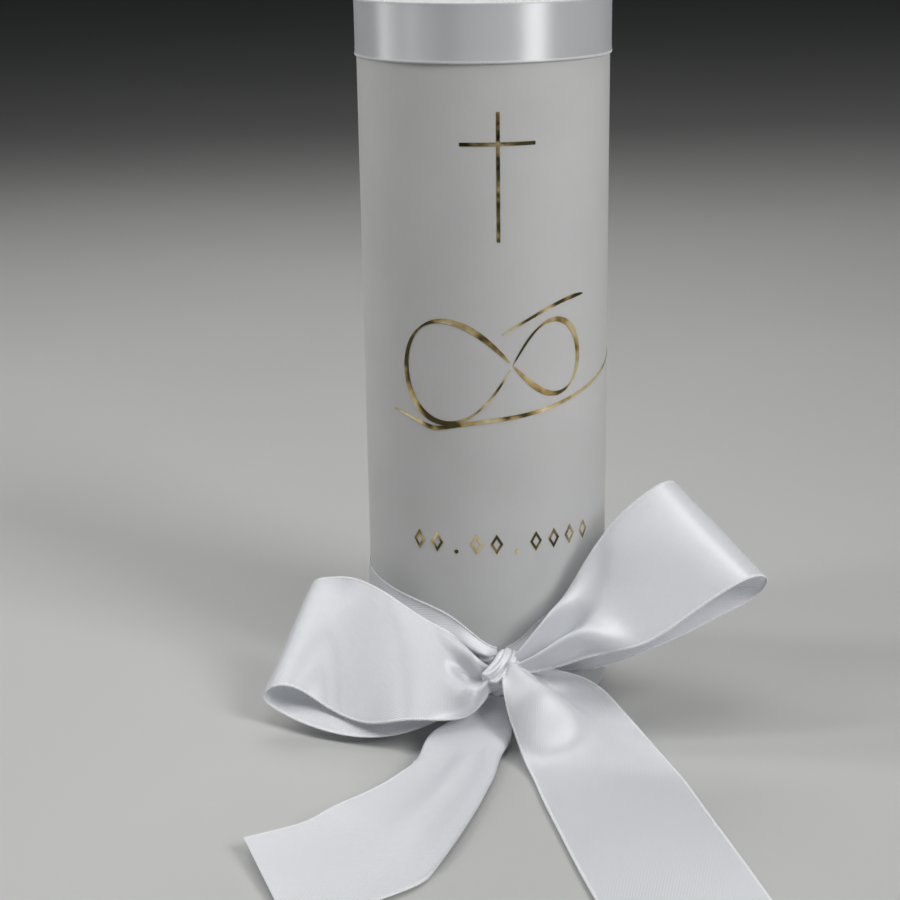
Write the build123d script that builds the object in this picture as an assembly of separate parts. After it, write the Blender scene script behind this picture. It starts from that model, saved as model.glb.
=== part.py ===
from build123d import *
import math
import os

# Unity candle: a white over-dipped pillar with a satin band at its rim, gold
# foil decoration on its front and one wide satin ribbon tied round its foot in
# a bow.  Millimetres, +Z up.  The origin is the centre of the candle's base,
# and the decoration and the bow face -Y.

# ---- driving dimensions ----
CANDLE_RADIUS = 35.0
CANDLE_HEIGHT = 200.0
OVERDIP = 2.0            # harder wax skin over the pressed core
TOP_EDGE = 1.2           # rounding of the upper rim
BASE_EDGE = 0.8          # rounding of the foot

WICK_RADIUS = 1.3
WICK_STANDS = 12.0       # bare wick above the wax
SUSTAINER_RADIUS = 9.0
SUSTAINER_SHEET = 0.4
NECK_WALL = 0.6
NECK_HEIGHT = 6.0

BAND_WIDTH = 15.0        # satin band at the rim
BAND_SHEET = 0.35
BAND_LAP = 18.0          # overlap of its two ends, at the back
TAPE_SHEET = 0.1
TAPE_INSET = 1.0         # how far the tape stays inside the lap

FOIL_SHEET = 0.1
FOIL_LINE = 0.95         # width of the cross's lines
CROSS_FOOT = 138.0
CROSS_HEIGHT = 34.4
CROSS_BAR = 20.4
CROSS_BAR_HEIGHT = 164.0
MARK_HEIGHT = 5.9
MARK_WIDTH = 3.6
MARK_LINE = 0.8
MARK_ROW = 52.7          # height of the row of small marks
MARK_PITCH = 5.7
DOT_RADIUS = 0.6
FLOURISH_ANGLE = 6.0     # degrees round the candle, from -Y towards +X
FLOURISH_HEIGHT = 104.0

BELT_WIDTH = 36.0        # ribbon round the foot
BELT_SHEET = 0.6
BELT_FOOT = 0.4          # height of its lower selvage above the table
BELT_RISE = 11.0         # how far its lower edge rises to the knot
BELT_PINCH = 10.0        # how far its upper edge drops close to the knot,
PINCH_ANGLE = 18.0       # within about this many degrees of the front,
BELT_SAG = 5.0           # and how far it slopes down on the way there
SAG_ANGLE = 50.0
RIBBON_SHEET = 1.0       # the soft solids of loops and tails
BOW_CENTRE = Vector(0, -CANDLE_RADIUS - 9, 19)
KNOT_SIZE = (11.0, 11.0, 14.0)
KNOT_ROUND = 4.0
KNOT_DROP = 1.5          # how far the knot hangs below the middle of the bow
CROSSING_DEPTH = 3.5     # the half knot between the belt's two ends
CROSSING_FOOT = 10.0
CROSSING_HEIGHT = 12.0
CROSSING_ANGLE = 8.0     # half of the front that it covers, in degrees
FIT = 0.05               # clearance of a wrapped sheet on the wax

# Each route is a list of stations along a ribbon.  A station is the place of
# the ribbon's two edges, measured from the middle of the bow.
LOOP_LEFT = [
    ((-4, 1, 0), (-4, -4, -4)),
    ((-8, 2, 2), (-8, -7, -8)),
    ((-13.5, 6.5, 7), (-15.5, -11, -9.5)),
    ((-21.5, 11.5, 11), (-27.5, -13, -8)),
    ((-31, 17.5, 16), (-38.5, -6, -12)),
    ((-41, 28.5, 18), (-50.5, 4, -10)),
    ((-47.5, 36, 16), (-60, 7, -5)),
    ((-51.5, 38.5, 14.5), (-66, 10.5, -7)),
    ((-53, 39.5, 12), (-67.5, 11, -10.5)),
    ((-51.5, 39, 8), (-64, 9.5, -13)),
    ((-47.5, 35, 4.5), (-58.5, 4, -14.5)),
    ((-39.5, 29.5, 1), (-47, -2.5, -16)),
    ((-32.5, 20, -1), (-37.5, -6.5, -16)),
    ((-26.5, 14, -1), (-29.5, -7.5, -15.5)),
    ((-20, 8, -1), (-21.5, -7.5, -14)),
    ((-12.5, 4, -1), (-13, -5, -11)),
    ((-5, 2.5, -3), (-5, -3, -7)),
]
LOOP_RIGHT = [
    ((2.5, 0, 3), (3, -4, 0)),
    ((8.5, 2, 9), (14.5, -7.5, 3.5)),
    ((14, 4, 14.5), (22.5, -10, 7.5)),
    ((24, 8, 27), (35.5, -13, 10)),
    ((30.5, 10.5, 36), (42, -13.5, 14)),
    ((40, 13.5, 44.5), (58.5, -12.5, 25.5)),
    ((49, 16.5, 47.5), (69.5, -9.5, 28)),
    ((52, 19.5, 44.5), (73, -5, 24)),
    ((49.5, 21.5, 41.5), (71.5, -2, 19.5)),
    ((41.5, 23, 36.5), (63.5, -1.5, 15.5)),
    ((35, 21.5, 30), (51, -3.5, 10)),
    ((29, 18.5, 25), (42, -3.5, 6)),
    ((21, 14, 15.5), (29.5, -2.5, 0)),
    ((15, 8, 9), (21, -2, -2)),
    ((3, 3, 3), (3, -1, -2)),
]
TAIL_LEFT = [
    ((-4, 0, -8), (3, -3, -8)),
    ((-14, -3, -14), (1, -6, -14.5)),
    ((-22.5, -10.5, -15.5), (-1, -12.5, -17)),
    ((-25.5, -20, -16.5), (-5, -23, -18)),
    ((-32, -33, -16), (-9.5, -36.5, -18)),
    ((-40, -43, -15), (-15, -51.5, -18)),
    ((-48, -50, -14.5), (-21, -66, -18)),
    ((-56, -55, -14.5), (-29.5, -81, -18)),
    ((-64, -58.5, -14.5), (-43, -93, -18)),
    ((-72.5, -60.8, -15), (-62, -97.5, -18)),
]
TAIL_RIGHT = [
    ((0, -3, 1), (4, -3, 2.5)),
    ((-1, -7.5, 0), (10, -5, 2)),
    ((-1, -11.5, -4), (15, -4, 0)),
    ((0, -16, -9), (25.5, -4, -5)),
    ((1.5, -21, -14), (31.5, -7, -10)),
    ((3.5, -29, -17.5), (38, -18, -16)),
    ((4.5, -41, -18), (43, -36, -18)),
    ((6, -56, -18), (45, -51.5, -18)),
    ((8, -76, -18), (47.5, -71.5, -18)),
    ((13.5, -116, -18), (52.5, -111.5, -18)),
]
LOOP_SECTIONS = 40
TAIL_SECTIONS = 24


def wrapped(radius, sheet, arc, height, angle=0.0, foot=0.0):
    """A sheet that lies round the candle.  arc is its length round the wax in
    mm, and angle is its middle, in degrees from -Y towards +X."""
    sweep = min(math.degrees(arc / radius), 360.0)
    profile = Plane.XZ * Pos(radius + sheet / 2, foot + height / 2) * Rectangle(sheet, height)
    return Rot(0, 0, angle - 90 - sweep / 2) * revolve(profile, Axis.Z, sweep)


def on_candle(angle, height, radius=CANDLE_RADIUS + FIT):
    """Plane that touches the candle's side: x runs round it, y runs up."""
    turn = math.radians(angle)
    outward = Vector(math.sin(turn), -math.cos(turn), 0)
    around = Vector(math.cos(turn), math.sin(turn), 0)
    return Plane(outward * radius + Vector(0, 0, height), x_dir=around, z_dir=outward)


def strip(route, sheet, sections):
    """A ribbon through its route's stations, as one thin solid."""
    left = Spline(*[BOW_CENTRE + Vector(*station[0]) for station in route])
    right = Spline(*[BOW_CENTRE + Vector(*station[1]) for station in route])
    edges = [(left @ (i / sections), right @ (i / sections)) for i in range(sections + 1)]
    faces = []
    for i, (a, b) in enumerate(edges):
        before = edges[max(i - 1, 0)]
        after = edges[min(i + 1, sections)]
        along = (after[0] + after[1]) - (before[0] + before[1])
        half = along.cross(b - a).normalized() * (sheet / 2)
        faces.append(Face(Wire.make_polygon([a + half, b + half, b - half, a - half])))
    return loft(faces, ruled=True)


def largest(shape):
    """The biggest solid of a cut shape, without its loose crumbs."""
    return max(shape.solids(), key=lambda solid: solid.volume)


# ---- wax and wick ----
def make_wax_outer_layer():
    body = Pos(0, 0, CANDLE_HEIGHT / 2) * Cylinder(CANDLE_RADIUS, CANDLE_HEIGHT)
    rims = body.edges().filter_by(GeomType.CIRCLE).sort_by(Axis.Z)
    body = fillet(rims[-1], TOP_EDGE)
    foot = body.edges().filter_by(GeomType.CIRCLE).sort_by(Axis.Z)[0]
    body = fillet(foot, BASE_EDGE)
    inside = CANDLE_HEIGHT - 2 * OVERDIP
    hollow = Pos(0, 0, CANDLE_HEIGHT / 2) * Cylinder(CANDLE_RADIUS - OVERDIP, inside)
    wick_hole = Pos(0, 0, CANDLE_HEIGHT) * Cylinder(WICK_RADIUS, 3 * OVERDIP)
    return body - hollow - wick_hole


def make_wax_core(wick, sustainer):
    core = Pos(0, 0, CANDLE_HEIGHT / 2) * Cylinder(CANDLE_RADIUS - OVERDIP, CANDLE_HEIGHT - 2 * OVERDIP)
    return core - wick - sustainer


def make_wick():
    foot = OVERDIP + SUSTAINER_SHEET
    length = CANDLE_HEIGHT + WICK_STANDS - foot
    return Pos(0, 0, foot + length / 2) * Cylinder(WICK_RADIUS, length)


def make_sustainer():
    disc = Pos(0, 0, OVERDIP + SUSTAINER_SHEET / 2) * Cylinder(SUSTAINER_RADIUS, SUSTAINER_SHEET)
    neck_middle = OVERDIP + SUSTAINER_SHEET + NECK_HEIGHT / 2
    neck = Pos(0, 0, neck_middle) * Cylinder(WICK_RADIUS + NECK_WALL, NECK_HEIGHT)
    bore = Pos(0, 0, neck_middle) * Cylinder(WICK_RADIUS, NECK_HEIGHT)
    return disc + (neck - bore)


# ---- band at the rim ----
def make_top_band():
    """One turn round the wax.  Its end steps out and laps over its start."""
    foot = CANDLE_HEIGHT - BAND_WIDTH
    inner = CANDLE_RADIUS + FIT
    outer = inner + BAND_SHEET + TAPE_SHEET
    turn = wrapped(inner, BAND_SHEET, 2 * math.pi * inner, BAND_WIDTH, 180, foot)
    lap = wrapped(outer, BAND_SHEET, BAND_LAP, BAND_WIDTH, 180, foot)
    lap_half = math.degrees(BAND_LAP / outer) / 2
    step = wrapped(inner, 2 * BAND_SHEET + TAPE_SHEET, BAND_SHEET, BAND_WIDTH, 180 + lap_half, foot)
    return turn + lap + step


def make_top_band_tape():
    radius = CANDLE_RADIUS + FIT + BAND_SHEET
    foot = CANDLE_HEIGHT - BAND_WIDTH + TAPE_INSET
    length = BAND_LAP - 3 * TAPE_INSET
    return wrapped(radius, TAPE_SHEET, length, BAND_WIDTH - 2 * TAPE_INSET, 180, foot)


# ---- gold foil ----
def make_foil_cross():
    radius = CANDLE_RADIUS + FIT
    upright = wrapped(radius, FOIL_SHEET, FOIL_LINE, CROSS_HEIGHT, 0, CROSS_FOOT)
    bar_foot = CROSS_BAR_HEIGHT - FOIL_LINE / 2
    return upright + wrapped(radius, FOIL_SHEET, CROSS_BAR, FOIL_LINE, 0, bar_foot)


def make_foil_mark(place, is_dot):
    """A hollow lozenge or a dot, place mm along the row from its middle."""
    angle = math.degrees(place / CANDLE_RADIUS) + 3
    if is_dot:
        plane = on_candle(angle, MARK_ROW - MARK_HEIGHT / 2 + DOT_RADIUS)
        return extrude(plane * Circle(DOT_RADIUS), FOIL_SHEET)
    plane = on_candle(angle, MARK_ROW)
    tall, wide = MARK_HEIGHT / 2, MARK_WIDTH / 2
    outer = Polygon((0, -tall), (wide, 0), (0, tall), (-wide, 0))
    hole = (1 - MARK_LINE / wide)
    inner = Polygon((0, -tall * hole), (wide * hole, 0), (0, tall * hole), (-wide * hole, 0))
    return extrude(plane * (outer - inner), FOIL_SHEET)


def infinity(t):
    """Drawing of the leaning figure of eight, whose left lobe is the larger."""
    size = 26 - 5 * math.cos(t)
    across = size * math.cos(t) / (1 + math.sin(t) ** 2)
    up = 1.35 * across * math.sin(t)
    lean = math.radians(6)
    return (across * math.cos(lean) - up * math.sin(lean),
            across * math.sin(lean) + up * math.cos(lean))


def underline(t):
    """Long swash under the figure, from a small curl at its left."""
    curl = math.exp(-7 * t)
    return (-36 + 84 * t + 6 * curl * math.sin(16 * t), -17.5 + 15 * t ** 2 + 3 * curl * math.cos(16 * t))


def overline(t):
    """Short swash that rises to the right over the figure."""
    return (-3 + 26 * t, 9.5 + 8 * math.sin(1.7 * t - 0.1))


def foil_stroke(curve, start, end, steps):
    """A pen stroke along a curve.  A broad nib held at a slant makes it thick
    one way and thin the other."""
    nib = math.radians(38)
    faces = []
    for i in range(steps + 1):
        t = start + (end - start) * i / steps
        x, y = curve(t)
        x_on, y_on = curve(t + 0.001)
        heading = math.atan2(y_on - y, x_on - x)
        taper = min(1.0, 0.25 + 6 * min(i, steps - i) / steps)
        half = taper * (0.25 + 0.6 * abs(math.sin(heading - nib)))
        angle = FLOURISH_ANGLE + math.degrees(x / CANDLE_RADIUS)
        plane = on_candle(angle, FLOURISH_HEIGHT + y)
        side = plane.x_dir * (-math.sin(heading)) * half + Vector(0, 0, math.cos(heading)) * half
        middle, out = plane.origin, plane.z_dir * FOIL_SHEET
        corners = [middle + side, middle - side, middle - side + out, middle + side + out]
        faces.append(Face(Wire.make_polygon(corners)))
    return loft(faces, ruled=True)


def make_foil_flourish():
    """The figure of eight in two halves, with a small gap where one passes
    under the other, and its two swashes."""
    gap = 0.055
    quarter = math.pi / 2
    strokes = [
        foil_stroke(infinity, -quarter, quarter, 36),
        foil_stroke(infinity, quarter + gap, 3 * quarter - gap, 44),
        foil_stroke(underline, 0, 1, 40),
        foil_stroke(overline, 0, 1, 14),
    ]
    return Compound(strokes)


# ---- ribbon round the foot, and its bow ----
def make_ribbon_belt():
    """Ribbon round the wax, level at the back and drawn together in front,
    where its two ends run into the half knot."""
    steps = 60
    sweep = 360 - 2 * CROSSING_ANGLE
    faces = []
    for i in range(steps + 1):
        angle = CROSSING_ANGLE + sweep * i / steps
        front = math.degrees(math.acos(math.cos(math.radians(angle))))
        pinch = math.exp(-((front / PINCH_ANGLE) ** 2))
        sag = math.exp(-((front / SAG_ANGLE) ** 2))
        foot = BELT_FOOT + BELT_RISE * pinch
        head = BELT_FOOT + BELT_WIDTH - BELT_PINCH * pinch - BELT_SAG * sag
        inner = on_candle(angle, 0)
        out = inner.z_dir * BELT_SHEET
        low, high = inner.origin + Vector(0, 0, foot), inner.origin + Vector(0, 0, head)
        faces.append(Face(Wire.make_polygon([low, high, high + out, low + out])))
    return loft(faces, ruled=True)


def make_half_knot():
    arc = math.radians(2 * CROSSING_ANGLE) * CANDLE_RADIUS
    return wrapped(CANDLE_RADIUS + FIT, CROSSING_DEPTH, arc, CROSSING_HEIGHT, 0, CROSSING_FOOT)


def make_bow_knot(half_knot):
    block = fillet(Box(*KNOT_SIZE).edges(), KNOT_ROUND)
    return Pos(BOW_CENTRE - Vector(1, 0, KNOT_DROP)) * Rot(0, 12, 0) * block - half_knot


def main():
    os.makedirs("parts", exist_ok=True)
    nodes = {}
    nodes["wick"] = make_wick()
    nodes["wick_sustainer"] = make_sustainer()
    nodes["wax_core"] = make_wax_core(nodes["wick"], nodes["wick_sustainer"])
    nodes["wax_outer_layer"] = make_wax_outer_layer()
    nodes["top_band"] = make_top_band()
    nodes["top_band_tape"] = make_top_band_tape()
    nodes["foil_cross"] = make_foil_cross()
    nodes["foil_flourish"] = make_foil_flourish()
    marks = "lldlldllll"     # lozenges and dots along the row
    for i, kind in enumerate(marks):
        place = MARK_PITCH * (i - (len(marks) - 1) / 2)
        nodes[f"foil_mark_{i + 1}"] = make_foil_mark(place, kind == "d")
    nodes["ribbon_belt"] = make_ribbon_belt()
    nodes["half_knot"] = make_half_knot()
    nodes["bow_knot"] = make_bow_knot(nodes["half_knot"])
    knots = nodes["half_knot"] + nodes["bow_knot"]
    for side, tail, loop in (("left", TAIL_LEFT, LOOP_LEFT), ("right", TAIL_RIGHT, LOOP_RIGHT)):
        tail_solid = largest(strip(tail, RIBBON_SHEET, TAIL_SECTIONS) - knots)
        loop_solid = strip(loop, RIBBON_SHEET, LOOP_SECTIONS) - knots - tail_solid
        nodes[f"bow_tail_{side}"] = tail_solid
        nodes[f"bow_loop_{side}"] = largest(loop_solid)
    for name, shape in nodes.items():
        export_step(shape, f"parts/{name}.step")


main()
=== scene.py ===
import bpy
import math
import numpy as np
from mathutils import Matrix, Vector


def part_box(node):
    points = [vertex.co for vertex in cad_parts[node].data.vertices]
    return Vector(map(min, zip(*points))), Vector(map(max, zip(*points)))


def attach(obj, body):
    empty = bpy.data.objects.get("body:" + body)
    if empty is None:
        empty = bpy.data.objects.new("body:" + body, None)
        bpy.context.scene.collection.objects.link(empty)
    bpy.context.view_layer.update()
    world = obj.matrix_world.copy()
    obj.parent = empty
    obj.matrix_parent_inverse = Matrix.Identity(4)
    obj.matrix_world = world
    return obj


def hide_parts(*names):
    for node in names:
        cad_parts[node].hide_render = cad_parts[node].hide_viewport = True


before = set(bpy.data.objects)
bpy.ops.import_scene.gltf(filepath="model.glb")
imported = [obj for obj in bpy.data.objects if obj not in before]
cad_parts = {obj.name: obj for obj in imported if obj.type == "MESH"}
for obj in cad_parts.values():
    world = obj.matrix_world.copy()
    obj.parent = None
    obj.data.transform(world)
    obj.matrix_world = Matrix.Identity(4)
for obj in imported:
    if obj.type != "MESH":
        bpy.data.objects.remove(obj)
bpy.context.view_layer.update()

# Unity candle: white over-dipped pillar, satin band at its rim, gold foil
# decoration, and one wide satin ribbon tied round its foot in a bow.
# Lengths are in millimetres, apart from the stage's, and MM turns them into the
# scene's metres.
MM = 0.001


# ---- places and sizes that the frame gives, in mm ----
def box_mm(node):
    low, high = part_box(node)
    return np.array(low) / MM, np.array(high) / MM


WAX_LOW, WAX_HIGH = box_mm("wax_outer_layer")
RADIUS = (WAX_HIGH[0] - WAX_LOW[0]) / 2
HEIGHT = WAX_HIGH[2]
WICK_LOW, WICK_HIGH = box_mm("wick")
WICK_RADIUS = (WICK_HIGH[0] - WICK_LOW[0]) / 2
BAND_LOW, BAND_HIGH = box_mm("top_band")
BELT_LOW, BELT_HIGH = box_mm("ribbon_belt")
CROSS_LOW, CROSS_HIGH = box_mm("foil_cross")
KNOT_LOW, KNOT_HIGH = box_mm("bow_knot")
KNOT_DROP = 1.5          # how far the knot hangs below the bow's middle
BOW_CENTRE = np.array([0.0, -RADIUS - 9, (KNOT_LOW[2] + KNOT_HIGH[2]) / 2 + KNOT_DROP])

# ---- sizes of the materials.  A SHEET is a thickness ----
OVERDIP = 2.0            # thickness of the dipped skin
FIT = 0.05               # clearance of a wrapped sheet on the wax
RIBBON_WIDTH = 38.0
RIBBON_SHEET = 0.3
BAND_SHEET = 0.35
BAND_LAP = 18.0          # how far the band's ends overlap
TAPE_SHEET = 0.1
SELVAGE_WIDTH = 0.8
SELVAGE_PITCH = 0.65     # from one picot to the next
WEAVE_PITCH = 0.7
FOIL_SHEET = 0.06
FOIL_LINE = 0.95         # width of the cross's lines

# ---- how the cloth of the bow is worked out ----
GRID = 1.5               # spacing of its points while it settles
FINE = 0.7               # spacing of the finished mesh
LOWEST = RIBBON_SHEET / 2 + 0.05   # middle of a sheet that lies on the table
OFF_WAX = 1.2            # clearance of its middle from the wax
BENDING = 0.08           # share of a bend that is taken out in each round
EDGE_HOLD = 0.08         # share of an edge's way back to its line
SHEAR = 0.3              # share of a diagonal's way back to its length

# Stations along each ribbon: its first edge and its second, as (x, y, z) in mm
# from the middle of the bow.
LOOP_LEFT = [
    ((-4, 1, 0), (-4, -4, -4)),
    ((-8, 2, 2), (-8, -7, -8)),
    ((-13.5, 6.5, 7), (-15.5, -11, -9.5)),
    ((-21.5, 11.5, 11), (-27.5, -13, -8)),
    ((-31, 17.5, 16), (-38.5, -6, -12)),
    ((-41, 28.5, 18), (-50.5, 4, -10)),
    ((-47.5, 36, 16), (-60, 7, -5)),
    ((-51.5, 38.5, 14.5), (-66, 10.5, -7)),
    ((-53, 39.5, 12), (-67.5, 11, -10.5)),
    ((-51.5, 39, 8), (-64, 9.5, -13)),
    ((-47.5, 35, 4.5), (-58.5, 4, -14.5)),
    ((-39.5, 29.5, 1), (-47, -2.5, -16)),
    ((-32.5, 20, -1), (-37.5, -6.5, -16)),
    ((-26.5, 14, -1), (-29.5, -7, -14.8)),
    ((-20, 8, -1), (-21.5, -6, -12.2)),
    ((-12.5, 4, -1), (-13, -4, -9.5)),
    ((-5, 2.5, -3), (-5, -3, -7)),
]
LOOP_RIGHT = [
    ((2.5, 0, 3), (3, -4, 0)),
    ((8.5, 2, 9), (14.5, -7.5, 3.5)),
    ((14, 4, 14.5), (22.5, -10, 7.5)),
    ((24, 8, 27), (35.5, -13, 10)),
    ((30.5, 10.5, 36), (42, -13.5, 14)),
    ((40, 13.5, 44.5), (58.5, -12.5, 25.5)),
    ((49, 16.5, 47.5), (69.5, -9.5, 28)),
    ((52, 19.5, 44.5), (73, -5, 24)),
    ((49.5, 21.5, 41.5), (71.5, -2, 19.5)),
    ((41.5, 23, 36.5), (63.5, -1.5, 15.5)),
    ((35, 21.5, 30), (51, -3.5, 10)),
    ((29, 18.5, 25), (42, -3.5, 6)),
    ((21, 14, 15.5), (29.5, -1, 0.5)),
    ((15, 8, 9), (21, 1, -1.5)),
    ((3, 3, 3), (3, 1, -1.5)),
]
TAIL_LEFT = [
    ((-4, 0, -8), (3, -3, -8)),
    ((-14, -3, -14), (1, -6, -14.5)),
    ((-22.5, -10.5, -15.5), (-1, -12.5, -17)),
    ((-25.5, -20, -16.5), (-5, -23, -18)),
    ((-32, -33, -16), (-9.5, -36.5, -18)),
    ((-40, -43, -15), (-15, -51.5, -18)),
    ((-48, -50, -14.5), (-21, -66, -18)),
    ((-56, -55, -14.5), (-29.5, -81, -18)),
    ((-64, -58.5, -14.5), (-43, -93, -18)),
    ((-72.5, -60.8, -15), (-62, -97.5, -18)),
]
TAIL_RIGHT = [
    ((0, -3, 1), (4, -3, 2.5)),
    ((-1, -7.5, 0), (10, -5, 2)),
    ((-1, -11.5, -4), (15, -4, 0)),
    ((0, -16, -9), (25.5, -4, -5)),
    ((1.5, -21, -14), (31.5, -7, -10)),
    ((3.5, -29, -17.5), (38, -18, -16)),
    ((4.5, -41, -18), (43, -36, -18)),
    ((6, -56, -18), (45, -51.5, -18)),
    ((8, -76, -18), (47.5, -71.5, -18)),
    ((13.5, -116, -18), (52.5, -111.5, -18)),
]


# ======================================================================
# Materials
# ======================================================================
class Nodes:
    """Small helper that adds and joins shader nodes."""

    def __init__(self, name):
        self.material = bpy.data.materials.new(name)
        self.material.use_nodes = True
        self.tree = self.material.node_tree
        self.shader = self.tree.nodes["Principled BSDF"]

    def add(self, kind, **values):
        node = self.tree.nodes.new("ShaderNode" + kind)
        for key, value in values.items():
            if hasattr(node, key):
                setattr(node, key, value)
            else:
                node.inputs[key.replace("_", " ").title()].default_value = value
        return node

    def join(self, source, target):
        self.tree.links.new(source, target)

    def set(self, values):
        for socket, value in values.items():
            self.shader.inputs[socket].default_value = value

    def feed(self, socket, source):
        self.join(source, self.shader.inputs[socket])

    def ramp(self, source, stops):
        """Colour ramp over a 0..1 source.  stops are (place, colour)."""
        ramp = self.tree.nodes.new("ShaderNodeValToRGB")
        elements = ramp.color_ramp.elements
        while len(elements) < len(stops):
            elements.new(0.5)
        for element, (place, colour) in zip(elements, stops):
            element.position = place
            element.color = (*colour, 1.0)
        self.join(source, ramp.inputs[0])
        return ramp.outputs["Color"]

    def range(self, source, low, high):
        """Number from low to high as the source goes from 0 to 1."""
        node = self.tree.nodes.new("ShaderNodeMapRange")
        node.inputs["To Min"].default_value = low
        node.inputs["To Max"].default_value = high
        self.join(source, node.inputs["Value"])
        return node.outputs["Result"]

    def sum(self, first, second, share):
        """first, plus a share of second."""
        node = self.add("Math", operation="MULTIPLY_ADD")
        self.join(second, node.inputs[0])
        node.inputs[1].default_value = share
        self.join(first, node.inputs[2])
        return node.outputs[0]

    def noise(self, scale, detail=3.0):
        """Noise from 0 to 1, whose scale is per metre."""
        node = self.add("TexNoise", scale=scale, detail=detail)
        self.join(self.add("TexCoord").outputs["Object"], node.inputs["Vector"])
        return node.outputs["Fac"]

    def lines(self, coordinates, pitch, angle):
        """Parallel lines, a pitch in mm apart, turned from x by degrees."""
        wave_turn = 20       # radians per unit of a wave texture at scale 1
        turned = self.add("Mapping")
        turned.inputs["Rotation"].default_value[2] = math.radians(angle)
        self.join(coordinates, turned.inputs["Vector"])
        wave = self.add("TexWave", wave_type="BANDS", bands_direction="Y",
                        scale=2 * math.pi / (wave_turn * pitch * MM))
        self.join(turned.outputs["Vector"], wave.inputs["Vector"])
        return wave.outputs["Fac"]

    def bump(self, height, distance, before=None):
        """Relief from a height of 0..1, whose full depth is distance in mm."""
        node = self.add("Bump", strength=1.0, distance=distance * MM)
        self.join(height, node.inputs["Height"])
        if before is not None:
            self.join(before, node.inputs["Normal"])
        return node.outputs["Normal"]


def wax_material():
    """Slightly cloudy wax with a soft sheen, uneven from the dipping."""
    n = Nodes("wax")
    n.set({"Subsurface Weight": 0.35, "Subsurface Scale": 0.0012,
           "Subsurface Radius": (1.0, 0.85, 0.7), "Specular IOR Level": 0.4,
           "Coat Weight": 0.12, "Coat Roughness": 0.35})
    shades = [(0.3, (0.56, 0.562, 0.557)), (0.7, (0.60, 0.602, 0.597))]
    n.feed("Base Color", n.ramp(n.noise(35.0, 4.0), shades))
    n.feed("Roughness", n.range(n.noise(220.0), 0.42, 0.56))
    dip = n.bump(n.noise(28.0, 2.0), 0.5)
    n.feed("Normal", n.bump(n.noise(1400.0, 4.0), 0.02, before=dip))
    return n.material


def plain_material(name, low, high, scale, roughness, relief, metallic=0.0):
    """Two close colours in a noise, with uneven gloss and a fine relief."""
    n = Nodes(name)
    n.set({"Metallic": metallic})
    noise = n.noise(scale, 5.0)
    n.feed("Base Color", n.ramp(noise, [(0.3, low), (0.7, high)]))
    n.feed("Roughness", n.range(noise, roughness * 0.85, roughness * 1.15))
    n.feed("Normal", n.bump(noise, relief))
    return n.material


def satin_material(name, low, high, gloss, roughness, anisotropy, sheen, crossing, relief,
                   through):
    """Woven satin.  The UV map is the flat ribbon in metres, x along it.  Its
    floats step over in a twill line, and crossing is how much of the other
    thread shows between them.  gloss is the share of the light that the floats
    throw back like a mirror, and through the share that shines through."""
    twill, cross_thread = 24, 78       # degrees from the ribbon's length
    n = Nodes(name)
    n.set({"Metallic": gloss, "Anisotropic": anisotropy, "Anisotropic Rotation": 0.25,
           "Specular IOR Level": 1.0, "Sheen Weight": sheen, "Sheen Roughness": 0.4})
    uv = n.add("UVMap").outputs["UV"]
    n.feed("Tangent", n.add("Tangent", direction_type="UV_MAP").outputs["Tangent"])
    weave = n.sum(n.lines(uv, WEAVE_PITCH, twill), n.lines(uv, WEAVE_PITCH, cross_thread), crossing)
    cloud = n.noise(60.0, 2.0)
    n.feed("Base Color", n.ramp(cloud, [(0.25, low), (0.75, high)]))
    n.feed("Roughness", n.range(cloud, roughness * 0.9, roughness * 1.1))
    normal = n.bump(weave, relief, before=n.bump(cloud, 0.12))
    n.feed("Normal", normal)
    glow = n.add("BsdfTranslucent")
    glow.inputs["Color"].default_value = (*high, 1.0)
    n.join(normal, glow.inputs["Normal"])
    mix = n.add("MixShader")
    mix.inputs[0].default_value = through
    n.join(n.shader.outputs[0], mix.inputs[1])
    n.join(glow.outputs[0], mix.inputs[2])
    n.join(mix.outputs[0], n.tree.nodes["Material Output"].inputs["Surface"])
    return n.material


def gold_material():
    """Mirror-bright foil, creased here and there and a little uneven in gloss, with painted dark
    reflections: near-black patches in its colour stand for dark surroundings mirrored in it.
    """
    n = Nodes("gold_foil")
    n.set({"Metallic": 1.0})
    creases_and_painted_reflection = n.noise(130.0, 2.0)
    # Painted reflection: the near-black and dim gold stops stand for dark surroundings mirrored in
    # the foil; only the bright stop is the foil's own gold. The same noise also gives the real
    # creases' relief.
    shades = [(0.42, (0.10, 0.08, 0.03)), (0.52, (0.60, 0.43, 0.17)), (0.62, (1.0, 0.82, 0.47))]
    n.feed("Base Color", n.ramp(creases_and_painted_reflection, shades))
    n.feed("Roughness", n.range(n.noise(900.0), 0.06, 0.22))
    n.feed("Normal", n.bump(creases_and_painted_reflection, 0.5, before=n.bump(n.noise(700.0), 0.03)))
    return n.material


def wick_material():
    n = Nodes("wick_cotton")
    n.set({"Sheen Weight": 0.4, "Roughness": 0.8})
    fuzz = n.noise(2500.0, 4.0)
    n.feed("Base Color", n.ramp(fuzz, [(0.3, (0.74, 0.71, 0.63)), (0.7, (0.90, 0.88, 0.81))]))
    n.feed("Normal", n.bump(fuzz, 0.1))
    return n.material


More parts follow.
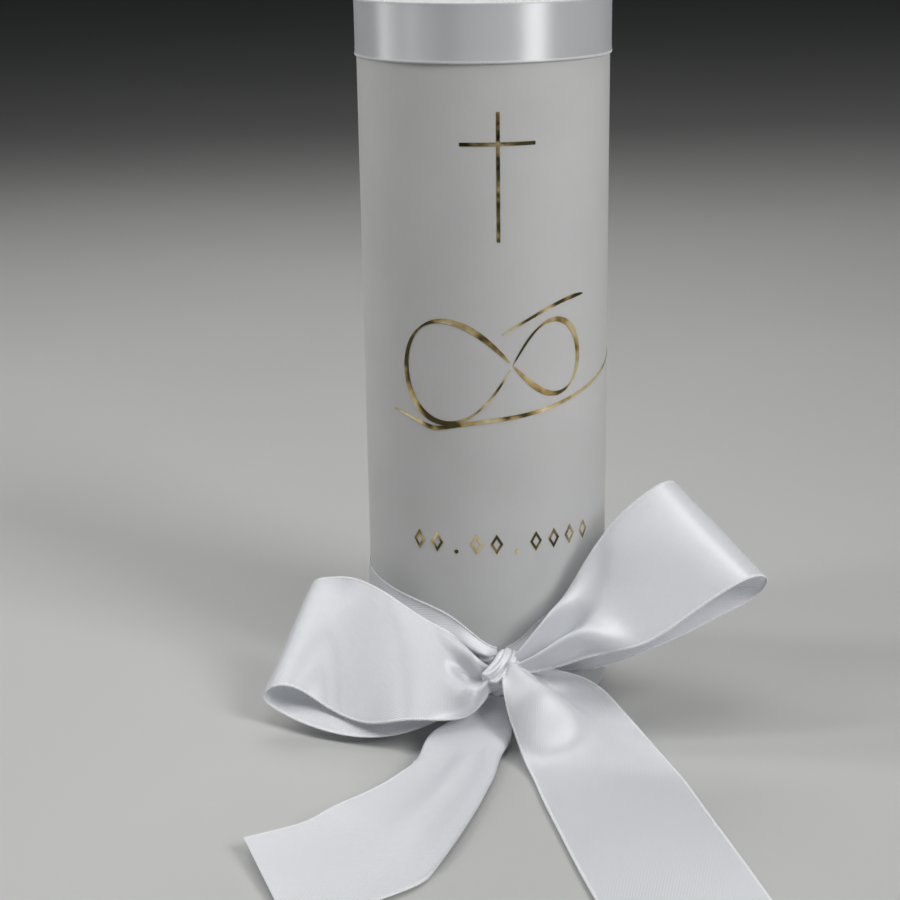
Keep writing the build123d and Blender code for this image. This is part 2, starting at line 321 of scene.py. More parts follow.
WAX = wax_material()
CORE_WAX = plain_material("core_wax", (0.80, 0.79, 0.75), (0.85, 0.84, 0.80),
                          scale=900.0, roughness=0.6, relief=0.1)
TAPE = plain_material("tape", (0.80, 0.79, 0.74), (0.86, 0.85, 0.80),
                      scale=600.0, roughness=0.6, relief=0.05)
TINPLATE = plain_material("tinplate", (0.55, 0.55, 0.56), (0.68, 0.68, 0.69),
                          scale=300.0, roughness=0.3, relief=0.03, metallic=1.0)
SATIN = satin_material("satin_face", (0.93, 0.94, 0.965), (0.95, 0.96, 0.98),
                       gloss=0.20, roughness=0.46, anisotropy=0.9, sheen=0.1,
                       crossing=0.25, relief=0.03, through=0.40)
SATIN_BACK = satin_material("satin_back", (0.92, 0.93, 0.96), (0.94, 0.95, 0.975),
                            gloss=0.06, roughness=0.46, anisotropy=0.4, sheen=0.2,
                            crossing=0.8, relief=0.035, through=0.40)
BAND_SATIN = satin_material("band_satin", (0.68, 0.69, 0.71), (0.72, 0.73, 0.75),
                            gloss=0.36, roughness=0.52, anisotropy=1.0, sheen=0.0,
                            crossing=0.25, relief=0.004, through=0.0)
SELVAGE = plain_material("selvage", (0.70, 0.71, 0.73), (0.82, 0.82, 0.83),
                         scale=1500.0, roughness=0.4, relief=0.05)
GOLD = gold_material()
COTTON = wick_material()


# ======================================================================
# Mesh and curve helpers
# ======================================================================
def make_object(name, points, faces, materials, slot, material_index=None, uv=None, sharp=50):
    """Mesh object from points and a UV map in mm, on the candle's only body.
    Edges that turn by more than sharp, in degrees, stay sharp."""
    mesh = bpy.data.meshes.new(name)
    mesh.from_pydata((np.asarray(points) * MM).tolist(), [], [tuple(map(int, f)) for f in faces])
    for material in materials:
        mesh.materials.append(material)
    if material_index is not None:
        mesh.polygons.foreach_set("material_index", np.asarray(material_index, dtype=np.int32))
    if uv is not None:
        layer = mesh.uv_layers.new(name="UVMap")
        corners = np.empty(len(mesh.loops), dtype=np.int32)
        mesh.loops.foreach_get("vertex_index", corners)
        layer.data.foreach_set("uv", (np.asarray(uv) * MM)[corners].ravel())
    mesh.shade_smooth()
    mesh.set_sharp_from_angle(angle=math.radians(sharp))
    piece = bpy.data.objects.new(name, mesh)
    bpy.context.scene.collection.objects.link(piece)
    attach(piece, "root")
    return piece


def grid_faces(rows, columns, closed_columns=False):
    """Quads over a grid of points that is stored row by row."""
    faces = []
    for i in range(rows - 1):
        for j in range(columns if closed_columns else columns - 1):
            a, b = i * columns, (i + 1) * columns
            k = (j + 1) % columns
            faces.append((a + j, b + j, b + k, a + k))
    return faces


def joined(parts):
    """One list of points and one of faces from several (points, faces)."""
    points, faces, base = [], [], 0
    for part_points, part_faces in parts:
        points.append(np.reshape(part_points, (-1, 3)))
        faces += [tuple(i + base for i in face) for face in part_faces]
        base += len(points[-1])
    return np.concatenate(points), faces


def rod(rings):
    """Closed solid through rings of points, capped at both ends."""
    count, sides = rings.shape[:2]
    faces = grid_faces(count, sides, closed_columns=True)
    faces += [tuple(range(sides)), tuple(reversed(range((count - 1) * sides, count * sides)))]
    return rings, faces


def thicken(points, faces, normals, sheet, lift=0.5):
    """Closes a sheet into a thin solid.  lift is the share of the thickness
    that lies on the normals' side.  Returns its points, faces and a mark for
    each face: 0 front, 1 back, 2 rim."""
    points, normals = np.reshape(points, (-1, 3)), np.reshape(normals, (-1, 3))
    count = len(points)
    both = np.concatenate([points + normals * sheet * lift, points - normals * sheet * (1 - lift)])
    edges = {(a, b) for face in faces for a, b in zip(face, face[1:] + face[:1])}
    rim = [(b, a, a + count, b + count) for a, b in sorted(edges) if (b, a) not in edges]
    back = [tuple(i + count for i in reversed(face)) for face in faces]
    marks = [0] * len(faces) + [1] * len(back) + [2] * len(rim)
    return both, list(faces) + back + rim, marks


def unit(vectors):
    return vectors / np.maximum(np.linalg.norm(vectors, axis=-1, keepdims=True), 1e-9)


def grid_normals(grid):
    return unit(np.cross(np.gradient(grid, axis=0), np.gradient(grid, axis=1)))


def spline(knots, values, places):
    """Natural cubic spline through values at knots, read at places."""
    knots, values = np.asarray(knots, float), np.asarray(values, float)
    shape = values.shape[1:]
    values = values.reshape(len(knots), -1)
    step = np.diff(knots)
    size = len(knots)
    matrix = np.eye(size)
    right = np.zeros_like(values)
    slope = np.diff(values, axis=0) / step[:, None]
    for i in range(1, size - 1):
        matrix[i, i - 1:i + 2] = step[i - 1], 2 * (step[i - 1] + step[i]), step[i]
        right[i] = 6 * (slope[i] - slope[i - 1])
    curve = np.linalg.solve(matrix, right)
    span = np.clip(np.searchsorted(knots, places) - 1, 0, size - 2)
    h = step[span][:, None]
    a = (knots[span + 1][:, None] - np.asarray(places)[:, None]) / h
    b = 1 - a
    result = a * values[span] + b * values[span + 1]
    result += ((a ** 3 - a) * curve[span] + (b ** 3 - b) * curve[span + 1]) * h ** 2 / 6
    return result.reshape(len(result), *shape)


def lengths(points, axis=0):
    return np.linalg.norm(np.diff(points, axis=axis), axis=-1)


def ease(t):
    """Smooth step from 0 to 1."""
    t = np.clip(t, 0, 1)
    return t * t * (3 - 2 * t)


def around(angle, radius, height):
    """Points round the candle's axis.  angle is in radians from -Y to +X."""
    angle, radius, height = np.broadcast_arrays(angle, radius, height)
    return np.stack([radius * np.sin(angle), -radius * np.cos(angle), height], axis=-1)


# ======================================================================
# Wax and wick
# ======================================================================
def arc(centre, radius, start, end, steps):
    turn = np.radians(np.linspace(start, end, steps))
    return [(centre[0] + radius * math.cos(t), centre[1] + radius * math.sin(t)) for t in turn]


def wax_skin():
    """The dipped skin, a closed shell.  Wax climbs the wick a little, and the
    top sinks slightly between the wick and the rim."""
    rim, foot = 1.5, 0.8       # radii of the rounded edges
    climb, sink = 1.1, 0.35
    steps = 180
    hollow = RADIUS - OVERDIP
    profile = [(0, OVERDIP), (hollow, OVERDIP), (hollow, HEIGHT - OVERDIP),
               (WICK_RADIUS, HEIGHT - OVERDIP)]
    for r in np.concatenate([np.linspace(WICK_RADIUS, 5, 10), np.linspace(7, RADIUS - rim, 14)]):
        rise = climb * math.exp(-(r - WICK_RADIUS) / climb)
        profile.append((r, HEIGHT + rise - sink * (1 - (r / RADIUS) ** 4)))
    profile[-1] = (RADIUS - rim, HEIGHT)
    profile += arc((RADIUS - rim, HEIGHT - rim), rim, 90, 0, 8)[1:]
    profile += [(RADIUS, z) for z in np.linspace(HEIGHT - rim, foot, 60)[1:-1]]
    profile += arc((RADIUS - foot, foot), foot, 0, -90, 6)
    profile.append((0, 0))
    ring = np.array(profile[1:-1])
    turn = np.linspace(0, 2 * np.pi, steps, endpoint=False)
    body = around(turn[None, :], ring[:, :1], ring[:, 1:])
    rows = len(ring)
    points = np.concatenate([body.reshape(-1, 3), [[0, 0, OVERDIP], [0, 0, 0]]])
    faces = [tuple(reversed(face)) for face in grid_faces(rows, steps, closed_columns=True)]
    for j in range(steps):
        k = (j + 1) % steps
        faces.append((rows * steps, k, j))
        faces.append((rows * steps + 1, (rows - 1) * steps + j, (rows - 1) * steps + k))
    piece = make_object("wax_skin", points, faces, [WAX], "wax", sharp=40)
    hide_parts("wax_outer_layer")


def frame_along(path):
    """Two unit directions across a path, at each of its points."""
    along = unit(np.gradient(path, axis=0))
    side = unit(np.cross(along, [0.3, 0.9, 0.1]))
    return side, np.cross(along, side)


def tube_rings(path, radius, sides):
    """Rings of points round a path, for rod."""
    side, up = frame_along(path)
    turn = np.linspace(0, 2 * np.pi, sides, endpoint=False)
    radius = np.broadcast_to(radius, len(path))[:, None, None]
    return path[:, None] + radius * (side[:, None] * np.cos(turn)[None, :, None]
                                     + up[:, None] * np.sin(turn)[None, :, None])


def wick():
    """Round braided cotton: eight strands go over and under each other, and
    their ends spread where the wick was cut."""
    strand, reach, lay = 0.34, WICK_RADIUS - 0.36, 5.5
    weave_depth, frayed, splay, uneven = 0.16, 1.6, 0.35, 0.3
    start, end = HEIGHT - 6, WICK_HIGH[2] - 0.35
    height = np.linspace(start, end, 150)
    spread = ease((height - end + frayed) / frayed)
    bend = 0.0035 * (height - start) ** 1.6
    parts = []
    for hand in (-1, 1):
        for k in range(4):
            offset = np.pi / 2 * k + (0.4 if hand > 0 else 0)
            turn = hand * 2 * np.pi * (height - start) / lay + offset
            weave = weave_depth * hand * np.cos(4 * 2 * np.pi * (height - start) / lay)
            out = reach - weave_depth + weave
            out = out + splay * spread * (0.4 + 0.6 * math.sin(2.3 * k + hand))
            path = np.stack([out * np.cos(turn) + bend, out * np.sin(turn) - 0.4 * bend,
                             height - uneven * (k % 3) * spread], axis=1)
            parts.append(rod(tube_rings(path, strand * (1 - 0.25 * spread), 8)))
    core = around(np.linspace(0, 2 * np.pi, 20, endpoint=False)[None, :], WICK_RADIUS - 0.45,
                  np.linspace(WICK_LOW[2], HEIGHT - 1, 12)[:, None])
    parts.append(rod(core[:, ::-1]))
    piece = make_object("wick_braid", *joined(parts), [COTTON], "wick_cotton")
    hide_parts("wick")


# ======================================================================
# Gold foil
# ======================================================================
def foil(name, patches, replaced):
    """Foil patches on the wax.  A patch is its points as (round, up) in mm,
    with its quads."""
    solids = []
    for points, faces in patches:
        points = np.asarray(points, float)
        angle = points[:, 0] / RADIUS
        on_wax = around(angle, RADIUS + FIT, points[:, 1])
        solids.append(thicken(on_wax, faces, around(angle, 1.0, 0.0), FOIL_SHEET, 1.0)[:2])
    piece = make_object(name, *joined(solids), [GOLD], "gold_foil", sharp=30)
    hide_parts(replaced)


def foil_cross():
    """Two crossing lines, as one patch without a seam."""
    bar = 20.4 / 2
    line = FOIL_LINE / 2
    bar_height = 164.0
    foot, head = CROSS_LOW[2], CROSS_HIGH[2]
    bar_steps, foot_steps, head_steps = 14, 20, 8
    xs = np.concatenate([np.linspace(-bar, -line, bar_steps), np.linspace(line, bar, bar_steps)])
    zs = np.concatenate([np.linspace(foot, bar_height - line, foot_steps),
                         np.linspace(bar_height + line, head, head_steps)])
    points = [(x, z) for z in zs for x in xs]
    faces = []
    for i in range(len(zs) - 1):
        for j in range(len(xs) - 1):
            if i == foot_steps - 1 or j == bar_steps - 1:
                a = i * len(xs) + j
                faces.append((a, a + 1, a + 1 + len(xs), a + len(xs)))
    used = sorted({index for face in faces for index in face})
    place = {index: i for i, index in enumerate(used)}
    patch = [points[i] for i in used], [tuple(place[i] for i in face) for face in faces]
    foil("foil_cross_lines", [patch], "foil_cross")


def ring_patch(outer, inner):
    """Closed band between two outlines with as many points."""
    count = len(outer)
    faces = [(i, (i + 1) % count, count + (i + 1) % count, count + i) for i in range(count)]
    return [*outer, *inner], faces


def foil_marks():
    """The row of small lozenges and dots, set out from their nodes' boxes."""
    largest_dot, sides = 1.0, 24
    wide, line = 1.8, 0.8       # half width of a lozenge, and of its line
    for node in sorted(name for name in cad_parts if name.startswith("foil_mark_")):
        low, high = box_mm(node)
        middle = (low + high) / 2
        x = RADIUS * math.atan2(middle[0], -middle[1])
        tall = (high[2] - low[2]) / 2
        if tall < largest_dot:
            turn = np.linspace(0, 2 * np.pi, sides, endpoint=False)
            circle, heart = ([(x + r * math.cos(t), middle[2] + r * math.sin(t)) for t in turn]
                             for r in (tall, 0.3 * tall))
            points, faces = ring_patch(circle, heart)
            faces.append(tuple(range(sides, 2 * sides)))
            foil(node + "_dot", [(points, faces)], node)
            continue
        outline, hole = [], []
        for k in range(4):
            here = (math.cos(k * math.pi / 2), math.sin(k * math.pi / 2))
            there = (math.cos((k + 1) * math.pi / 2), math.sin((k + 1) * math.pi / 2))
            for t in np.linspace(0, 1, 6, endpoint=False):
                a = here[0] * (1 - t) + there[0] * t
                b = here[1] * (1 - t) + there[1] * t
                inside = 1 - line / wide
                outline.append((x + wide * a, middle[2] + tall * b))
                hole.append((x + wide * inside * a, middle[2] + tall * inside * b))
        foil(node + "_lozenge", [ring_patch(outline, hole)], node)


def infinity(t):
    """The leaning figure of eight, whose left lobe is the larger."""
    size = 26 - 5 * math.cos(t)
    across = size * math.cos(t) / (1 + math.sin(t) ** 2)
    up = 1.35 * across * math.sin(t)
    lean = math.radians(6)
    return (across * math.cos(lean) - up * math.sin(lean),
            across * math.sin(lean) + up * math.cos(lean))


def underline(t):
    """Long swash under the figure, from a small curl at its left."""
    curl = math.exp(-7 * t)
    return (-36 + 84 * t + 6 * curl * math.sin(16 * t),
            -17.5 + 15 * t ** 2 + 3 * curl * math.cos(16 * t))


def overline(t):
    """Short swash that rises to the right over the figure."""
    return (-3 + 26 * t, 9.5 + 8 * math.sin(1.7 * t - 0.1))


def stroke(curve, start, end, steps):
    """Pen stroke along a curve.  A broad nib held at a slant makes it thick
    one way and thin the other."""
    nib, thin, broad = math.radians(38), 0.25, 0.6
    middle_x, middle_z = RADIUS * math.radians(6), 104.0
    ahead = 0.001
    points = []
    for i in range(steps + 1):
        t = start + (end - start) * i / steps
        x, y = curve(t)
        x_on, y_on = curve(t + ahead)
        heading = math.atan2(y_on - y, x_on - x)
        taper = math.sqrt(min(1.0, 0.04 + 6 * min(i, steps - i) / steps))
        half = taper * (thin + broad * abs(math.sin(heading - nib)))
        for side in (1, 0, -1):
            points.append((middle_x + x - side * half * math.sin(heading),
                           middle_z + y + side * half * math.cos(heading)))
    faces = [tuple(reversed(face)) for face in grid_faces(steps + 1, 3)]
    return points, faces


def foil_flourish():
    """The figure of eight in two strokes that don't quite meet, with a line
    under it and one over it."""
    gap, quarter = 0.055, math.pi / 2
    strokes = [
        stroke(infinity, gap / 4 - quarter, quarter, 130),
        stroke(infinity, quarter + gap, 3 * quarter - gap, 150),
        stroke(underline, 0, 1, 140),
        stroke(overline, 0, 1, 40),
    ]
    foil("foil_flourish_strokes", strokes, "foil_flourish")


# ======================================================================
# Ribbon
# ======================================================================
def selvage(name, grid):
    """Woven edges of a ribbon: a bead along each, with its small picots."""
    sides, overhang, bead = 8, 0.12, 0.16
    picot_reach, picot_rise = 0.16, 0.08
    parts = []
    normals = grid_normals(grid)
    for edge, inner in ((0, 1), (-1, -2)):
        line = grid[:, edge]
        inward = unit(grid[:, inner] - line)
        run = np.concatenate([[0], np.cumsum(lengths(line))])
        places = np.linspace(0, run[-1], int(run[-1] / (SELVAGE_PITCH / 4)))
        line, inward, normal = (spline(run, values, places)
                                for values in (line, inward, normals[:, edge]))
        picot = 0.5 + 0.5 * np.cos(2 * np.pi * places / SELVAGE_PITCH)
        rings = []
        for k in range(sides):
            turn = 2 * math.pi * k / sides
            reach = (0.5 + 0.5 * math.cos(turn)) * SELVAGE_WIDTH - overhang
            shift = inward * (reach - picot_reach * picot * (1 - math.cos(turn)))[:, None]
            rise = normal * (math.sin(turn) * (bead + picot_rise * picot))[:, None]
            rings.append(line + shift + rise)
        rings = np.stack(rings, axis=1)
        parts.append(rod(rings if edge == 0 else rings[:, ::-1]))
    return make_object(name, *joined(parts), [SELVAGE], "satin_ribbon")


def ribbon(name, grid, size, replaced, faces_out, sheet=RIBBON_SHEET,
           edges=True):
    """Finished ribbon from its grid.  size is its flat width and length, and
    faces_out its materials on the side of the grid's normals and behind."""
    rows, columns = grid.shape[:2]
    points, faces, marks = thicken(grid, grid_faces(rows, columns), grid_normals(grid), sheet)
    width, length = size
    u, v = np.meshgrid(np.linspace(0, length, rows), np.linspace(0, width, columns), indexing="ij")
    uv = np.tile(np.stack([u.ravel(), v.ravel()], axis=1), (2, 1))
    piece = make_object(name, points, faces, [*faces_out, SELVAGE], "satin_ribbon",
                        material_index=marks, uv=uv)
    pieces = [selvage(name + "_selvage", grid)] if edges else []
    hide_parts(*replaced)


def drawn_height(chord, shape):
    """How high a row of this shape stands when the ribbon's full width is
    drawn into a chord."""
    low, high = 0.0, RIBBON_WIDTH
    for _ in range(30):
        middle = (low + high) / 2
        length = np.hypot(chord / (len(shape) - 1), middle * np.diff(shape)).sum()
        low, high = (middle, high) if length < RIBBON_WIDTH else (low, middle)
    return middle


def edge_lines(route, spacing):
    """Both edges of a route, in evenly spaced rows, and each row's station."""
    left = BOW_CENTRE + np.array([station[0] for station in route], float)
    right = BOW_CENTRE + np.array([station[1] for station in route], float)
    knots = np.concatenate([[0], np.cumsum((lengths(left) + lengths(right)) / 2)])
    places = np.linspace(0, knots[-1], int(round(knots[-1] / spacing)) + 1)
    stations = np.interp(places, knots, np.arange(len(route)))
    return spline(knots, left, places), spline(knots, right, places), stations


def flat_rows(left, right, columns):
    across = np.linspace(0, 1, columns)
    return left[:, None] + (right - left)[:, None] * across[None, :, None]


def pleated_rows(left, right, waves, phase, outward, loop, pleated, level, puff):
    """Rows that are pleated where the chord is under pleated, and that only
    arch outward, by a share of puff, where it is over level.  Returns them and
    the cloth's lengths along the ribbon."""
    steepest, least, slack = 0.22, 0.3, 0.3
    columns = int(RIBBON_WIDTH / GRID) + 1
    v = np.linspace(0, 1, columns)
    grid = flat_rows(left, right, columns)
    normals = grid_normals(grid) * outward
    wave = np.sin(2 * np.pi * (waves * v + phase))
    wave -= wave[0] + (wave[-1] - wave[0]) * v
    arch = np.sin(np.pi * v)
    chords = np.linalg.norm(right - left, axis=1)
    result = grid.copy()
    for i, chord in enumerate(chords):
        share = ease((level - chord) / (level - pleated))
        side = -1 if loop and i > len(chords) // 2 else 1
        shape = share * side * wave + (1 - share) * arch
        height = drawn_height(min(chord, RIBBON_WIDTH - slack), shape)
        height = min(height, steepest * chord + least) * (share + (1 - share) * puff)
        result[i] += normals[i] * (height * shape)[:, None]
    return result, lengths(grid)[..., None]


def draw_pairs(first, second, rest, stiffness):
    """Moves pairs of points towards their resting distance."""
    apart = second - first
    distance = np.maximum(np.linalg.norm(apart, axis=-1, keepdims=True), 1e-9)
    move = apart * ((distance - rest) / distance * 0.5 * stiffness)
    first += move
    second -= move


def settle(grid, along, left, right, rounds, free_end):
    """Lets a sheet of cloth find its shape.  It resists stretching, shear and
    bending, its ends stay in the knot unless one is free, its edges are led
    along left and right, and it stays off the wax and the table.  Rows in the
    knot's grip stay as narrow as they start."""
    across = lengths(grid, 1)[..., None]
    cross = np.hypot((along[:, 1:] + along[:, :-1]) / 2, (across[1:] + across[:-1]) / 2)
    ends = grid[:2].copy(), grid[-2:].copy()
    for _ in range(rounds):
        for p in (grid, grid.transpose(1, 0, 2)):
            bend = BENDING * (p[:-2] - 2 * p[1:-1] + p[2:])
            p[:-2] -= bend
            p[2:] -= bend
            p[1:-1] += 2 * bend
        grid[:, 0] += EDGE_HOLD * (left - grid[:, 0])
        grid[:, -1] += EDGE_HOLD * (right - grid[:, -1])
        for start in (0, 1):
            size = (len(grid) - start) // 2 * 2
            a, b = grid[start:start + size:2], grid[start + 1:start + size:2]
            draw_pairs(a, b, along[start:start + size:2], 1.0)
            draw_pairs(a[:, :-1], b[:, 1:], cross[start:start + size:2], SHEAR)
            draw_pairs(a[:, 1:], b[:, :-1], cross[start:start + size:2], SHEAR)
            size = (grid.shape[1] - start) // 2 * 2
            a, b = grid[:, start:start + size:2], grid[:, start + 1:start + size:2]
            draw_pairs(a, b, across[:, start:start + size:2], 1.0)
        grid[..., 2] = np.maximum(grid[..., 2], LOWEST)
        out = np.hypot(grid[..., 0], grid[..., 1])
        grid[..., :2] *= np.maximum((RADIUS + OFF_WAX) / out, 1.0)[..., None]
        grid[:2] = ends[0]
        if not free_end:
            grid[-2:] = ends[1]
    return grid


def refine(grid, spacing):
    """Finer grid through the same points, with smooth curves both ways."""
    rows, columns = grid.shape[:2]
    row_step, column_step = lengths(grid, 0).mean(), lengths(grid, 1).mean()
    more_rows = int(round((rows - 1) * row_step / spacing)) + 1
    more_columns = int(round((columns - 1) * column_step / spacing)) + 1
    grid = spline(np.arange(rows), grid, np.linspace(0, rows - 1, more_rows))
    grid = spline(np.arange(columns), grid.transpose(1, 0, 2),
                  np.linspace(0, columns - 1, more_columns))
    return grid.transpose(1, 0, 2)


def tied_ribbon(name, route, faces_out, waves, pleated, level, puff, rounds, phase=0.0,
                outward=1, loop=False):
    """A loop or a loose end of the bow, which settles for some rounds.  waves
    and phase set its pleats, and outward is the side of its normals that it
    arches to."""
    left, right, _ = edge_lines(route, GRID)
    grid, along = pleated_rows(left, right, waves, phase, outward, loop, pleated, level, puff)
    length = along.mean() * len(along)
    grid = refine(settle(grid, along, left, right, rounds, not loop), FINE)
    ribbon(name + "_satin", grid, (RIBBON_WIDTH, length), [name],
           faces_out)


def fold_under(distance, depth):
    """Place of a point past a fold, as (outward, up): round the fold, then
    back beneath the sheet."""
    bend = np.minimum(distance, math.pi * depth / 2)
    turn = 2 * bend / depth
    return depth / 2 * np.sin(turn) - (distance - bend), -depth / 2 * (1 - np.cos(turn))


def left_tail():
    """Leaves the knot as a flattened roll.  Both sides are folded under it,
    and the left one opens out first.  A soft swell runs along the middle."""
    columns, spacing, smoothing = 57, 0.6, 12
    swell_height, swell_place, swell_width = 3.4, 0.70, 0.22
    left, right, stations = edge_lines(TAIL_LEFT, GRID)
    run = np.linspace(0, RIBBON_WIDTH, columns)
    flat = flat_rows(left, right, columns)
    normals = unit(grid_normals(flat).mean(axis=1))
    across = unit(right - left)
    grid = np.empty_like(flat)
    for i, station in enumerate(stations):
        chord = np.linalg.norm(right[i] - left[i])
        tucked_left = np.interp(station, [0, 1, 2, 3, 3.7], [12, 9, 6.5, 3.2, 0])
        tucked_right = max(RIBBON_WIDTH - chord - tucked_left, 0)
        depth_left = np.interp(station, [0, 2, 4], [2.0, 1.2, 1.0])
        depth_right = np.interp(station, [0, 2, 5], [2.6, 2.2, 2.0])
        x = run - tucked_left
        up = np.zeros(columns)
        under = run < tucked_left
        out, drop = fold_under(tucked_left - run[under], depth_left)
        x[under], up[under] = -out, drop
        top_end = RIBBON_WIDTH - tucked_right
        under = run > top_end
        out, drop = fold_under(run[under] - top_end, depth_right)
        x[under], up[under] = top_end - tucked_left + out, drop
        lift = depth_right * ease(tucked_right / 5) * ease((station - 0.4) / 1.2)
        seen = np.clip((run - tucked_left) / (top_end - tucked_left), 0, 1)
        swell = ease((station - 1.8) / 2.0) * ease((8.5 - station) / 3.5)
        swell *= (swell_height * np.exp(-((seen - swell_place) / swell_width) ** 2)
                  * ease(seen / 0.15) * ease((1 - seen) / 0.2))
        height = up + lift + swell
        grid[i] = left[i] + across[i] * x[:, None] + normals[i] * height[:, None]
    for _ in range(smoothing):
        grid[1:-1] += 0.25 * (grid[:-2] - 2 * grid[1:-1] + grid[2:])
    grid[..., 2] = np.maximum(grid[..., 2], LOWEST)
    length = lengths(left).sum() / 2 + lengths(right).sum() / 2
    ribbon("bow_tail_left_satin", refine(grid, spacing), (RIBBON_WIDTH, length),
           ["bow_tail_left"], (SATIN_BACK, SATIN))


def top_band():
    """Band at the rim.  It goes once round and laps over itself at the back."""
    rows, columns = 420, 22
    step, flare = 0.05, 0.10       # angle of the lap's step, and how the edges stand off
    inner = RADIUS + FIT + BAND_SHEET / 2
    outer = inner + BAND_SHEET + TAPE_SHEET
    lap = BAND_LAP / outer
    run = np.linspace(-lap / 2, 2 * math.pi + lap / 2, rows)
    radius = outer + (inner - outer) * ease((run - lap / 2) / step + 0.5)
    radius[run > lap] = inner
    height = np.linspace(BAND_HIGH[2], BAND_LOW[2], columns)
    loose = flare * ((np.arange(columns) / (columns - 1) - 0.5) * 2) ** 4
    grid = around(run[:, None] + math.pi, radius[:, None] + loose[None, :], height[None, :])
    length = inner * (2 * math.pi + lap)
    width = BAND_HIGH[2] - BAND_LOW[2]
    ribbon("top_band_satin", grid, (width, length),
           ["top_band"], (SATIN_BACK, BAND_SATIN), BAND_SHEET)


def belt():
    """Ribbon round the foot, level behind and drawn together in front."""
    crossing = math.radians(2)
    foot_rise, head_drop, sag_drop = 11, 10, 5
    gathers, deepest, belly, gap = 2.5, 3.0, 0.25, 0.2
    angle = np.linspace(crossing, 2 * math.pi - crossing, 350)
    front = np.degrees(np.arccos(np.cos(angle)))       # degrees from the bow
    pinch, sag = np.exp(-(front / 18) ** 2), np.exp(-(front / 50) ** 2)
    foot = BELT_LOW[2] + foot_rise * pinch
    head = BELT_HIGH[2] - head_drop * pinch - sag_drop * sag
    v = np.linspace(0, 1, 56)
    lift = 0.5 - 0.5 * np.cos(2 * np.pi * gathers * v)
    lift -= lift[-1] * v
    out = np.empty((len(angle), len(v)))
    for i in range(len(angle)):
        height = min(drawn_height(min(head[i] - foot[i], RIBBON_WIDTH - 0.1), lift), deepest)
        fade = ease((70 - front[i]) / 50) * ease((front[i] + 1) / 10)
        out[i] = height * fade * np.abs(lift) + belly * (1 - fade) * np.sin(np.pi * v) + gap
    height = foot[:, None] + (head - foot)[:, None] * v[None, :]
    grid = around(angle[:, None], RADIUS + FIT + out, height)[:, ::-1]
    length = RADIUS * (2 * math.pi - 2 * crossing)
    ribbon("ribbon_belt_satin", grid, (RIBBON_WIDTH, length),
           ["ribbon_belt"], (SATIN_BACK, SATIN))


def half_knot():
    """The crossing between the belt's ends, in slanting gathers."""
    reach = math.radians(10)
    tall, drop, flat_width = 10.5, 3.5, 20.0
    u = np.linspace(0, 1, 30)[:, None]
    v = np.linspace(0, 1, 60)[None, :]
    waist = 1 - 0.15 * np.sin(np.pi * u)
    height = BOW_CENTRE[2] - drop + (0.5 - v) * tall * waist
    gathers = (0.55 * np.cos(2 * np.pi * (4.5 * v + 0.9 * u))
               + 0.2 * np.cos(2 * np.pi * (9 * v - 0.6 * u)))
    bulge = 1.9 * np.sin(np.pi * u) * np.sin(np.pi * (0.15 + 0.7 * v))
    out = 0.9 + bulge + gathers * (0.5 + 0.5 * np.sin(np.pi * v))
    grid = around(-reach + 2 * reach * u, RADIUS + FIT + out, height)
    ribbon("half_knot_satin", grid, (flat_width, RADIUS * 2 * reach),
           ["half_knot"], (SATIN_BACK, SATIN), edges=False)


def bow_knot():
    """The knot's band: a short gathered ring round the pinched loops, with a
    ridge across its front."""
    deep, above, below, half_width = 6.0, 7.5, 5.5, 3.3
    flat_size = (14.0, 40.0)
    power, lean = 1.6, math.radians(24)       # roundness of the ring, and its tilt
    turn = np.linspace(0, 2 * np.pi, 141)[:, None]
    v = np.linspace(0, 1, 60)[None, :]
    cosine, sine = np.cos(turn), np.sin(turn)
    y = -deep * np.sign(cosine) * np.abs(cosine) ** power
    z = np.where(sine > 0, above, below) * np.sign(sine) * np.abs(sine) ** power - 0.5
    tuck = np.abs(2 * v - 1) ** 4
    slant = -1.1 * sine
    gathers = (0.36 * np.cos(2 * np.pi * (3.1 * v + slant))
               + 0.22 * np.cos(2 * np.pi * (6.3 * v + 1.6 * slant)))
    out = 0.4 + gathers * (1 - tuck) - 2.2 * tuck
    ridge = np.exp(-((np.mod(turn + np.pi, 2 * np.pi) - np.pi + 0.1) / 0.9) ** 2)
    x = (2 * v - 1) * half_width - (1 - v) ** 2 * 3.0 * ridge
    size = np.hypot(y, z)
    y, z = y * (1 + out / size), z * (1 + out / size)
    grid = np.stack([x * math.cos(lean) + z * math.sin(lean) - 1, y,
                     z * math.cos(lean) - x * math.sin(lean) - KNOT_DROP], axis=-1)
    ribbon("bow_knot_satin", grid + BOW_CENTRE, flat_size,
           ["bow_knot"], (SATIN_BACK, SATIN), edges=False)


wax_skin()
wick()
foil_cross()
foil_marks()
foil_flourish()
top_band()
belt()
half_knot()
bow_knot()
tied_ribbon("bow_loop_left", LOOP_LEFT, (SATIN, SATIN_BACK), waves=1.75,
            pleated=17.0, level=30.0, puff=0.1, rounds=40, loop=True)
tied_ribbon("bow_loop_right", LOOP_RIGHT, (SATIN_BACK, SATIN), waves=1.8,
            pleated=17.0, level=30.0, puff=0.2, rounds=100, outward=-1, loop=True)
left_tail()
tied_ribbon("bow_tail_right", TAIL_RIGHT, (SATIN, SATIN_BACK), waves=1.3,
            pleated=30.0, level=38.0, puff=0.4, rounds=600, phase=-0.205)

# Pieces that keep their CAD shape.
for node, material in (("wax_core", CORE_WAX), ("wick_sustainer", TINPLATE),
                       ("top_band_tape", TAPE)):
    for slot in bpy.data.objects[node].material_slots:
        slot.material = material


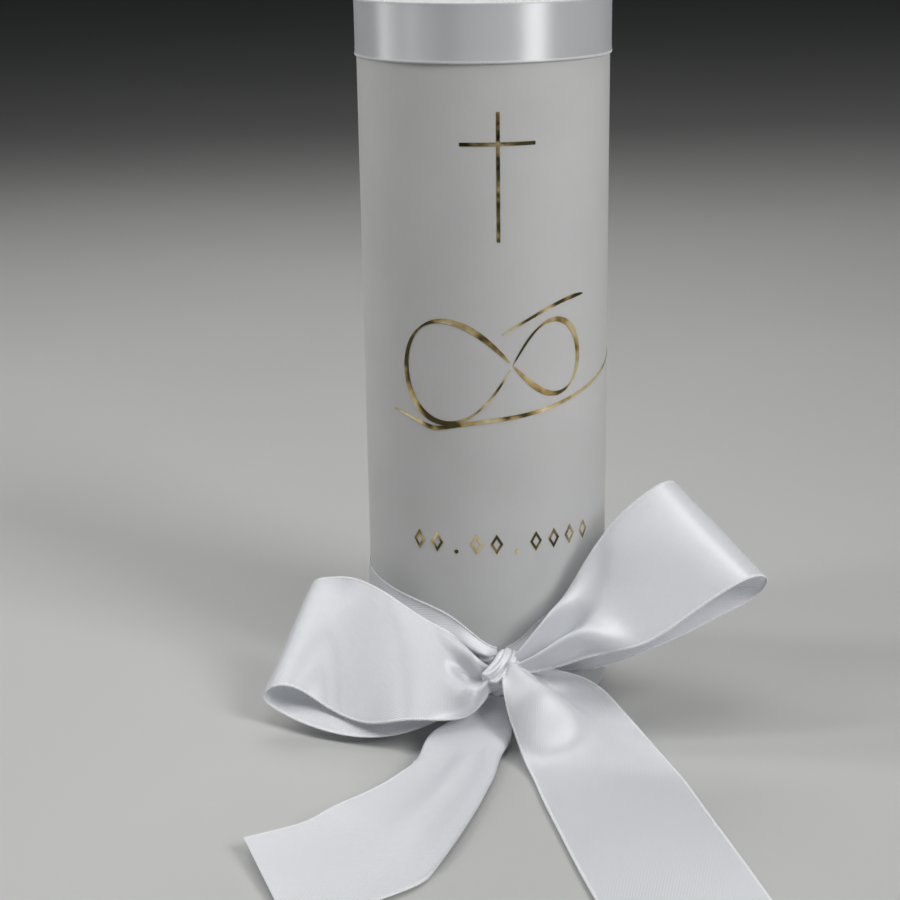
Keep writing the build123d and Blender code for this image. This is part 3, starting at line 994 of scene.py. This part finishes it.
# ======================================================================
# Stage, light and camera, in metres and watts
# ======================================================================
def floor():
    reach = 6.0
    material = plain_material("floor", (0.46, 0.465, 0.45), (0.48, 0.485, 0.47),
                              scale=3.0, roughness=0.5, relief=0.01)
    mesh = bpy.data.meshes.new("floor")
    corners = [(-reach, -reach, 0), (reach, -reach, 0), (reach, reach, 0), (-reach, reach, 0)]
    mesh.from_pydata(corners, [], [(0, 1, 2, 3)])
    mesh.materials.append(material)
    piece = bpy.data.objects.new("floor", mesh)
    bpy.context.scene.collection.objects.link(piece)


def turned_to(place, side, up, away):
    """World matrix of something at a place, with these three directions."""
    columns = np.stack([side, up, away], axis=1)
    return Matrix([[*row, p] for row, p in zip(columns, place)] + [[0, 0, 0, 1]])


def area_light(name, place, target, size, power):
    data = bpy.data.lights.new(name, "AREA")
    data.shape = "RECTANGLE"
    data.size, data.size_y = size
    data.energy = power
    lamp = bpy.data.objects.new(name, data)
    bpy.context.scene.collection.objects.link(lamp)
    away = unit(np.array(place) - np.array(target))
    side = unit(np.cross([0, 0, 1], away))
    lamp.matrix_world = turned_to(place, side, np.cross(away, side), away)


def lights():
    middle = (0, -0.02, 0.09)
    area_light("key", (0.90, -0.93, 1.0), middle, (0.5, 0.7), 14.5)
    area_light("top", (0.0, -0.25, 0.95), middle, (0.5, 0.4), 2.4)
    area_light("back", (0.0, 0.7, 0.7), middle, (0.8, 0.4), 2.5)
    area_light("left_front", (-0.55, -0.10, 0.80), middle, (0.12, 0.6), 1.6)
    area_light("left_back", (-0.70, 0.21, 0.61), middle, (0.12, 0.6), 2.2)
    world = bpy.data.worlds.new("studio")
    world.use_nodes = True
    background = world.node_tree.nodes["Background"]
    background.inputs["Color"].default_value = (0.90, 0.93, 1.0, 1)
    background.inputs["Strength"].default_value = 0.02
    bpy.context.scene.world = world
    bpy.context.scene.view_settings.view_transform = "Standard"


def camera():
    """In front, a little to the left, and looking down at the candle."""
    place, aim, roll = (-0.0549, -0.5149, 0.2294), (0.0816, 0.9521, -0.2947), math.radians(-0.83)
    data = bpy.data.cameras.new("camera")
    data.sensor_width, data.lens = 36.0, 73.5       # mm
    data.clip_start = 0.01
    view = bpy.data.objects.new("camera", data)
    bpy.context.scene.collection.objects.link(view)
    forward = unit(np.array(aim))
    side = unit(np.cross(forward, [0, 0, 1]))
    up = np.cross(side, forward)
    turned_side = side * math.cos(roll) + up * math.sin(roll)
    turned_up = up * math.cos(roll) - side * math.sin(roll)
    view.matrix_world = turned_to(place, turned_side, turned_up, -forward)
    bpy.context.scene.camera = view


floor()
lights()
camera()
